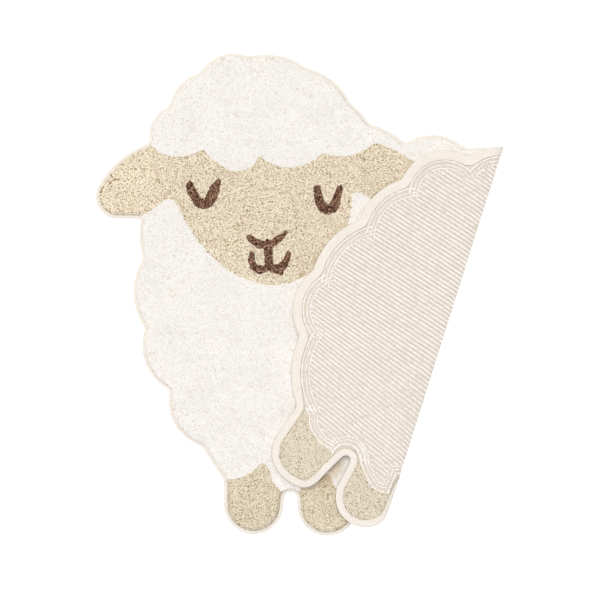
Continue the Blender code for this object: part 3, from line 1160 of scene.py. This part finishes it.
def foot_loops():
    return [evenly(loop_points(foot), FINE_STEP) for foot in FEET]


def behind_wool(places, margin):
    """Which places on the back are this far inside the tape and outside the feet."""
    kept = inside(places, CUT_EDGE) & (distance_to(CUT_EDGE, places) > TAPE_ON_BACK + margin)
    for loop in foot_loops():
        kept &= ~inside(places, loop) & (distance_to(loop, places) > margin)
    return kept


def arc_row(run, end, inset, tail):
    """A run's line moved inwards and carried on past both its ends, or nothing where the run is too round."""
    start, length, along, left = chord_of(run, end, MM)
    if abs(run.rise) < 1:
        steps = np.arange(-tail, length + tail, FINE_STEP)
        return start + steps[:, None] * along - inset * left
    half = 2 * math.atan(2 * run.rise * MM / length)
    radius = length / (2 * math.sin(half))
    smaller = radius - inset
    if 0 < smaller < 8 * MM:
        return np.empty((0, 2))
    reach = half + tail / smaller
    turns = np.linspace(-reach, reach, max(2, round(abs(2 * reach * smaller) / FINE_STEP)))
    forward = length / 2 + smaller * np.sin(turns)
    sideways = smaller * np.cos(turns) - radius * math.cos(half)
    return start + forward[:, None] * along + sideways[:, None] * left


def contour_margin(back, row):
    """How far from the tape a row that follows it lies. The first is a little apart from the rest."""
    return 2.4 * MM + row * back.contour_spacing + min(row, 1) * 1.9 * MM


def contour_rows(back):
    """Sets of rows that follow each scallop of the tape's inner edge and cross where two scallops meet, and
    the upper edges of the feet: one set at each distance from there."""
    sets = []
    for row in range(back.contour_rows):
        margin = contour_margin(back, row)
        inset = TAPE_ON_BACK + margin
        lines = [arc_row(run, end, inset, 0.45 * inset + 5 * MM) for run, end in round_pairs(OUTLINE)]
        for loop in foot_loops():
            lines.append(evenly(loop - (margin - 0.6 * MM) * inward_of(loop), FINE_STEP))
        sets.append([part for line in lines for part in runs_of(line, behind_wool(line, margin - 1.3 * MM), 5)])
    return sets


def plain_rows(back, beside):
    """The straight rows behind the wool, up to the rows that follow the edge."""
    margin = contour_margin(back, back.contour_rows) - 0.6 * back.contour_spacing
    along = np.arange(-320, 460, 2) * MM
    others = np.concatenate(beside)
    rows = []
    for level in np.arange(-300 * MM, 370 * MM, back.row_spacing):
        places = sloped_row(along, level)
        places[:, 1] += 0.25 * MM * ripple(places, 60 * MM, round(level / MM) % 97)
        rows += runs_of(places, behind_wool(places, margin) & (distance_to(others, places) > 2.5 * MM))
    return rows


def foot_rows(spacing):
    """Close rows behind the feet, in their own beige yarn."""
    rows = []
    along = np.arange(-140, 370, 1.5) * MM
    for level in np.arange(-372 * MM, -240 * MM, spacing):
        places = sloped_row(along, level)
        for loop in foot_loops():
            kept = inside(places, loop) & (distance_to(loop, places) > 0.6 * MM)
            kept &= inside(places, CUT_EDGE) & (distance_to(CUT_EDGE, places) > TAPE_ON_BACK - 2.6 * MM)
            rows += runs_of(places, kept)
    return rows


def split_at_fold(rows, on_floor):
    """The parts of rows that lie on the floor, or those that are folded up."""
    kept = []
    for row in rows:
        up = past_fold(row) > 0.35 * FOLD_RADIUS
        kept += runs_of(row, ~up if on_floor else up, 2)
    return kept


class RUG_OT_back_rows(bpy.types.Operator):
    """Lays the stitches of the yarn over the back of the canvas, row by row"""

    bl_idname = "sheep_rug.back_rows"
    bl_label = "Stitch Rows"

    def execute(self, context):
        back = context.scene.sheep_rug.back
        white = yarn_finish("white_back_yarn", back.yarn, 0.08, 0.05)
        beige = yarn_finish("beige_back_yarn", back.foot_yarn, 0.21, 0.2)
        nearest, *others = contour_rows(back)
        contours = sum(others, [])
        plain = plain_rows(back, nearest + contours) + nearest
        beads = (
            ("back_rows", plain, plain, white, back.pitch, back.length, back.width),
            ("back_contour_rows", contours, contours, white, 3.6 * MM, 4.8 * MM, 3.1 * MM),
            ("back_foot_rows", foot_rows(2.3 * MM), foot_rows(3.4 * MM), beige, 2.5 * MM, 3.4 * MM, 2.5 * MM),
        )
        for name, folded, under, finish, pitch, length, width in beads:
            for place, rows, spread in (("folded", folded, 1.0), ("under", under, 2.6)):
                lines = split_at_fold(rows, place == "under")
                made = grown(
                    line_mesh(name + "_lines", lines, ROW_LEVEL), stitch_tree(), f"{name}_{place}",
                    pitch=pitch * spread, length=length * spread, width=width, thickness=1.2 * MM,
                    slant=math.radians(9), unevenness=0.13, seed=31, finish=finish,
                )
                bake_map_from_above(made.data)
                join_the_rug(settle(made))
        return {"FINISHED"}


# ---- The pile


def in_strokes(places):
    """Which places lie on a brown stroke."""
    found = np.zeros(len(places), bool)
    for stroke in STROKES:
        line = evenly(np.array(stroke, float) * MM, FINE_STEP, closed=False)
        gaps = np.linalg.norm(places[:, None] - line[None, :, :2], axis=2)
        found |= (gaps < line[:, 2] / 2 + STROKE_SPREAD).any(axis=1)
    return found


def regions_of(places):
    """The colour of the pile at each place: 0 cream, 1 the face's beige, 2 the feet's, 3 brown."""
    region = np.zeros(len(places), int)
    region[inside(places, FACE_LOOP)] = 1
    for loop in foot_loops():
        region[inside(places, loop)] = 2
    near = np.flatnonzero(region == 1)
    region[near[in_strokes(places[near])]] = 3
    return region


FACE_LOOP = evenly(loop_points(FACE), FINE_STEP)


def out_of_sight(places):
    """Which places of the pile lie deep between the two layers, or deep inside the fold."""
    folded = EDGE_AS_LAID[past_fold(CUT_EDGE) > HALF_TURN]
    past = past_fold(places)
    hidden = np.zeros(len(places), bool)
    base = np.flatnonzero(past <= 0)
    deep = inside(places[base], folded) & (distance_to(folded, places[base]) > SHOWN_BAND)
    hidden[base[deep]] = True
    upper = np.flatnonzero(past > 0)
    hidden[upper[distance_to(CUT_EDGE, places[upper]) > SHOWN_BAND]] = True
    return hidden


def drawn_in(places, share):
    """Places by the pile's edge, further in where it is beige, because its shoulder is rounder there."""
    reach = np.where(regions_of(places) > 0, share * BEIGE_SHOULDER, 0)
    return places + reach[:, None] * inward_of(places)


class RUG_OT_pile_bed(bpy.types.Operator):
    """Makes the dense lower part of the pile, which shows between the tufts"""

    bl_idname = "sheep_rug.pile_bed"
    bl_label = "Pile Bed"

    def execute(self, context):
        pile = context.scene.sheep_rug.pile
        shoulder = ((6.4, 0.2), (7.1, 0.6), (8.4, 1.0))
        loops = [drawn_in(inset_loop(inset * MM, 5 * MM), share) for inset, share in shoulder]
        inner = loops[-1]
        lines = []
        for loop in (FACE_LOOP, *foot_loops()):
            even = evenly(loop, 5 * MM)
            kept = inside(even, inner) & (distance_to(inner, even) > 2.5 * MM)
            lines += [even[kept]] if kept.all() else []
        heights = np.array((3.6, 7.5, 9.2, 9.2)) * MM

        def over(flat, ring):
            uneven = 0.3 * MM * ripple(flat, 9 * MM, 11) - 0.8 * MM * partings(flat)
            return heights[ring] + (ring == 3) * uneven

        mesh = slab("pile_bed", loops, 8 * MM, lambda flat, ring: np.full(len(flat), CANVAS_OVER), over, lines)
        # Each bed is its pile's colour made darker by the tone: painted shade where the bed shows deep between
        # the tufts.
        finishes = [
            cloth_finish(f"{name}_pile_bed", tuple(tone * c for c in colour), 1.9 * MM, 0.3 * MM, 1.1 - tone)
            for name, colour, tone in (("cream", pile.cream, 0.95), ("beige", pile.beige, 0.75),
                                       ("foot", pile.foot_beige, 0.75), ("brown", pile.brown, 0.7))
        ]
        for finish in finishes:
            mesh.materials.append(finish)
        vertex, face = corners_of(mesh)
        flat = places_of(mesh)[vertex, :2]
        count = np.bincount(face)
        middles = np.column_stack([np.bincount(face, flat[:, axis]) / count for axis in (0, 1)])
        mesh.polygons.foreach_set("material_index", regions_of(middles).astype(np.int32))
        join_the_rug(settle(piece_of(mesh, "pile_bed")))
        return {"FINISHED"}


def tuft_shape():
    """One tuft, a unit wide and high: a closed spindle whose upper half shows. The number at each point says
    how high it is."""
    shape = bmesh.new()
    root = shape.verts.new((0, 0, 0))
    tip = shape.verts.new((0.06, 0.03, 1))
    ring = [
        shape.verts.new((0.5 * math.cos(turn), 0.5 * math.sin(turn), TUFT_RING))
        for turn in np.linspace(0, math.tau, 3, endpoint=False)
    ]
    for start, end in round_pairs(ring):
        shape.faces.new((start, end, tip))
        shape.faces.new((end, start, root))
        shape.edges.get((start, end)).smooth = False
    mesh = bpy.data.meshes.new("tuft")
    shape.to_mesh(mesh)
    shape.free()
    rise = places_of(mesh)[:, 2]
    mesh.attributes.new("rise", "FLOAT", "POINT").data.foreach_set("value", rise.astype(np.float32))
    return piece_of(mesh, "tuft")


def scattered(pile):
    """Places inside the pile's edge, spread evenly but at random."""
    field = inset_loop(FIELD_INSET, 3 * MM)
    found = triangulated(field, ring_edges(len(field)))
    mesh = bpy.data.meshes.new("pile_field")
    mesh.from_pydata([(x, y, 0) for x, y in found[0]], [], found[2])
    spread = grown(
        piece_of(mesh, "pile_field"), scatter_tree(), "pile_places",
        spacing=pile.spacing, density=4 / pile.spacing**2, seed=pile.seed,
    )
    places = places_of(spread.data)[:, :2]
    bpy.data.objects.remove(spread)
    return places


def partings(places):
    """How far the pile is parted at each place, from 0 to 1: short bent dashes here and there."""
    draw = np.random.default_rng(16)
    way, way_spread, bend, fewest, most, core = 0.9, 0.7, 0.35, 5, 16, 1.7
    dashes = []
    while len(dashes) < DASHES:
        start = draw.uniform(*DASH_AREA)
        if draw.uniform() > 0.35 + 0.6 * ripple(start[None], 90 * MM, 17)[0]:
            continue
        turns = draw.normal(way, way_spread) + np.cumsum(draw.normal(0, bend, draw.integers(fewest, most)))
        steps = np.column_stack([np.cos(turns), np.sin(turns)])
        dashes.append(start + DASH_STEP * np.cumsum(steps, axis=0))
    return np.clip(core - distance_to(np.concatenate(dashes), places) / DASH_REACH, 0, 1)


def warmth_at(places, region):
    """How the pile's tint runs, from 0 to 1: paler along the edge that lies folded on the cream, a painted
    light against the shadow that the folded part casts there; paler on the ear, whose beige is paler; and
    deepest in the notch between the two folded feet, a painted shade. It brings these places nearer to the
    photograph, where they come out otherwise than in this stage's light."""
    off = (places - np.array(NOTCH) * MM) / (np.array(NOTCH_SHADE_REACH) * MM)
    notch_painted_shade = np.exp(-0.5 * (off**2).sum(axis=1))
    folded = EDGE_AS_LAID[past_fold(CUT_EDGE) > HALF_TURN]
    # beside: painted light, the cream made paler where the folded part's shadow falls on it.
    beside = (region == 0) * np.exp(-distance_to(folded, places) / PAINTED_LIGHT_REACH) * (1 - notch_painted_shade)
    ear = (region == 1) * np.clip((EAR_FROM - places[:, 0]) / EAR_REACH, 0, EAR_MOST)
    return 0.5 + 0.5 * np.where(past_fold(places) < 0, notch_painted_shade - beside - ear, 0)


def standing_tufts(pile):
    """All tufts of the flat rug: their roots, the way each points, how tall each is and how far it stands in a
    parting. Three rows along the edge lean out over the tape, the rest is brushed this way and that."""
    draw = np.random.default_rng(5)
    beige_lean, loose_edge, loose, lower_in_parting = 0.7, 0.12, 0.10, 0.2
    roots, leans, talls = [], [], []
    for inset, share, height, out, tall in EDGE_TUFTS:
        row = drawn_in(inset_loop(inset * MM, pile.edge_pitch), share)
        roots.append(at_height(row, height * MM))
        out = np.where(regions_of(row) > 0, beige_lean * out, out)[:, None]
        leans.append(-out * inward_of(row) + draw.normal(0, loose_edge, row.shape))
        talls.append(np.full(len(row), tall))
    places = scattered(pile)
    close = distance_to(CUT_EDGE, places) < FIELD_INSET + BEIGE_SHOULDER
    places = places[~(close & (regions_of(places) > 0))]
    roots.append(at_height(places, PILE_TOP - TUFT_LENGTH))
    brushed = [ripple(places, 70 * MM, seed) + ripple(places, 14 * MM, seed + 2) for seed in (12, 13)]
    leans.append(np.column_stack(brushed) * math.tan(pile.lean) + draw.normal(0, loose, places.shape))
    roots, leans = np.vstack(roots), np.vstack(leans)
    parted = partings(roots[:, :2])
    talls = np.concatenate([*talls, 1 - lower_in_parting * parted[-len(places):]])
    return roots, np.column_stack([leans, np.ones(len(leans))]), talls, parted


class RUG_OT_pile(bpy.types.Operator):
    """Sets the tufts of the pile, colour by colour"""

    bl_idname = "sheep_rug.pile"
    bl_label = "Pile Tufts"

    def execute(self, context):
        pile = context.scene.sheep_rug.pile
        finishes = (
            pile_finish("cream_cotton_pile", pile.cream, 0.055, 0.045, 0.1),
            pile_finish("beige_cotton_pile", pile.beige, 0.18, 0.2, 0.05),
            pile_finish("foot_cotton_pile", pile.foot_beige, 0.15, 0.15, 0.05),
            pile_finish("brown_cotton_pile", pile.brown, 0.8, 3.0, 0.4),
        )
        tufts = standing_tufts(pile)
        seen = ~out_of_sight(tufts[0][:, :2])
        roots, leans, talls, parted = (values[seen] for values in tufts)
        places = roots[:, :2]
        region = regions_of(places)
        folded = past_fold(places) > 0
        head = places[:, 1] > 150 * MM
        left = places[:, 0] < -40 * MM
        pieces = (
            ("head_pile", (region == 0) & ~folded & head, 0),
            ("body_pile_left", (region == 0) & ~folded & ~head & left, 0),
            ("body_pile_right", (region == 0) & ~folded & ~head & ~left, 0),
            ("folded_pile", (region == 0) & folded, 0),
            ("face_pile", region == 1, 1),
            ("foot_pile", region == 2, 2),
            ("eyes_nose_and_mouth", region == 3, 3),
        )
        tuft = tuft_shape()
        tree = tuft_tree()
        for number, (name, kept, finish) in enumerate(pieces):
            # Each tuft carries the tint of painted light by the folded edge, painted shade in the notch and the
            # ear's paler tone.
            source = point_mesh(
                name + "_places", roots[kept], lean=leans[kept], tall=talls[kept], parted=parted[kept],
                warmth=warmth_at(places[kept], region[kept]),
            )
            made = grown(
                source, tree, name,
                tuft=tuft, width=pile.width, height=TUFT_LENGTH, unevenness=pile.unevenness,
                seed=pile.seed + 10 * number, finish=finishes[finish],
            )
            bake_map_from_above(made.data)
            join_the_rug(settle(made))
        bpy.data.objects.remove(tuft)
        return {"FINISHED"}


# ---- The canvas


class RUG_OT_canvas(bpy.types.Operator):
    bl_idname = "sheep_rug.canvas"
    bl_label = "Canvas"

    def execute(self, context):
        back = context.scene.sheep_rug.back
        insets = (CANVAS_EDGE, TAPE_ON_BACK - 1 * MM, TAPE_ON_BACK + 1 * MM)
        loops = [inset_loop(inset, 4 * MM) for inset in insets]
        heights = np.array((1.5, 1.5, CANVAS_UNDER / MM, CANVAS_UNDER / MM)) * MM
        mesh = slab("rug_canvas", loops, 7 * MM, lambda flat, ring: heights[ring],
                    lambda flat, ring: np.full(len(flat), CANVAS_OVER))
        mesh.materials.append(cloth_finish("cotton_canvas", back.canvas, 1.3 * MM, 0.2 * MM, 0.10))
        made = join_the_rug(settle(piece_of(mesh, "rug_canvas")))
        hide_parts("tufted_rug")
        return {"FINISHED"}


# ---- The stage


class RUG_OT_stage(bpy.types.Operator):
    """Sets out the floor, the soft light and the camera above the rug"""

    bl_idname = "sheep_rug.stage"
    bl_label = "Floor, Light and Camera"

    def execute(self, context):
        stage = context.scene.sheep_rug.stage
        scene = context.scene
        mesh = bpy.data.meshes.new("floor")
        corners = [(x * FLOOR_HALF, y * FLOOR_HALF, 0) for x, y in ((-1, -1), (1, -1), (1, 1), (-1, 1))]
        mesh.from_pydata(corners, [], [(0, 1, 2, 3)])
        made, tree, shader = principled("pale_floor", 0.9, 0.0)
        shade = ranged(tree, noise_of(tree, 6.0), 0.995, 1.005)
        colour = add(tree, "ShaderNodeRGB")
        colour.outputs[0].default_value = (*stage.floor, 1)
        tree.links.new(times(tree, colour.outputs[0], shade), shader.inputs["Base Color"])
        shader.inputs["Emission Strength"].default_value = stage.glow
        mesh.materials.append(made)
        piece_of(mesh, "floor")

        world = bpy.data.worlds.new("studio")
        world.use_nodes = True
        background = world.node_tree.nodes["Background"]
        background.inputs["Color"].default_value = (*stage.light, 1)
        background.inputs["Strength"].default_value = stage.dome
        scene.world = world

        light = bpy.data.lights.new("soft_lamp", "SUN")
        light.angle = LAMP_SPREAD
        light.energy = stage.lamp
        light.color = stage.light
        lamp = piece_of(light, "soft_lamp")
        lamp.location = LAMP_AT
        lamp.rotation_euler = (-Vector(lamp.location)).to_track_quat("-Z", "Y").to_euler()

        lens = bpy.data.cameras.new("camera")
        lens.lens = stage.lens
        camera = piece_of(lens, "camera")
        camera.location = (*TO_FRAME[:2], stage.field * stage.lens / lens.sensor_width)
        scene.camera = camera
        scene.view_settings.view_transform = "Standard"
        scene.cycles.filter_width = 1.0
        return {"FINISHED"}


class RUG_PT_panel(bpy.types.Panel):
    """The rug's sizes and colours, and the operators that make it"""

    bl_idname = "RUG_PT_panel"
    bl_label = "Tufted Rug"
    bl_space_type = "VIEW_3D"
    bl_region_type = "UI"
    bl_category = "Tufted Rug"

    def draw(self, context):
        settings = context.scene.sheep_rug
        for label, group in (
            ("Pile", settings.pile),
            ("Back", settings.back),
            ("Binding", settings.tape),
            ("Stage", settings.stage),
        ):
            box = self.layout.box()
            box.label(text=label)
            for name in group.bl_rna.properties.keys():
                if name not in ("rna_type", "name"):
                    box.prop(group, name)
        for operator in OPERATORS:
            self.layout.operator(operator.bl_idname)


GROUPS = (PileSettings, BackSettings, TapeSettings, StageSettings, RugSettings)
OPERATORS = (
    RUG_OT_stage,
    RUG_OT_binding,
    RUG_OT_sewing,
    RUG_OT_back_rows,
    RUG_OT_pile_bed,
    RUG_OT_pile,
    RUG_OT_canvas,
)
CLASSES = (*GROUPS, *OPERATORS, RUG_PT_panel)


def register():
    for kind in CLASSES:
        bpy.utils.register_class(kind)
    bpy.types.Scene.sheep_rug = PointerProperty(type=RugSettings)


def unregister():
    del bpy.types.Scene.sheep_rug
    for kind in reversed(CLASSES):
        bpy.utils.unregister_class(kind)


def main():
    register()
    for operator in OPERATORS:
        group, name = operator.bl_idname.split(".")
        getattr(getattr(bpy.ops, group), name)()


if __name__ == "__main__":
    main()
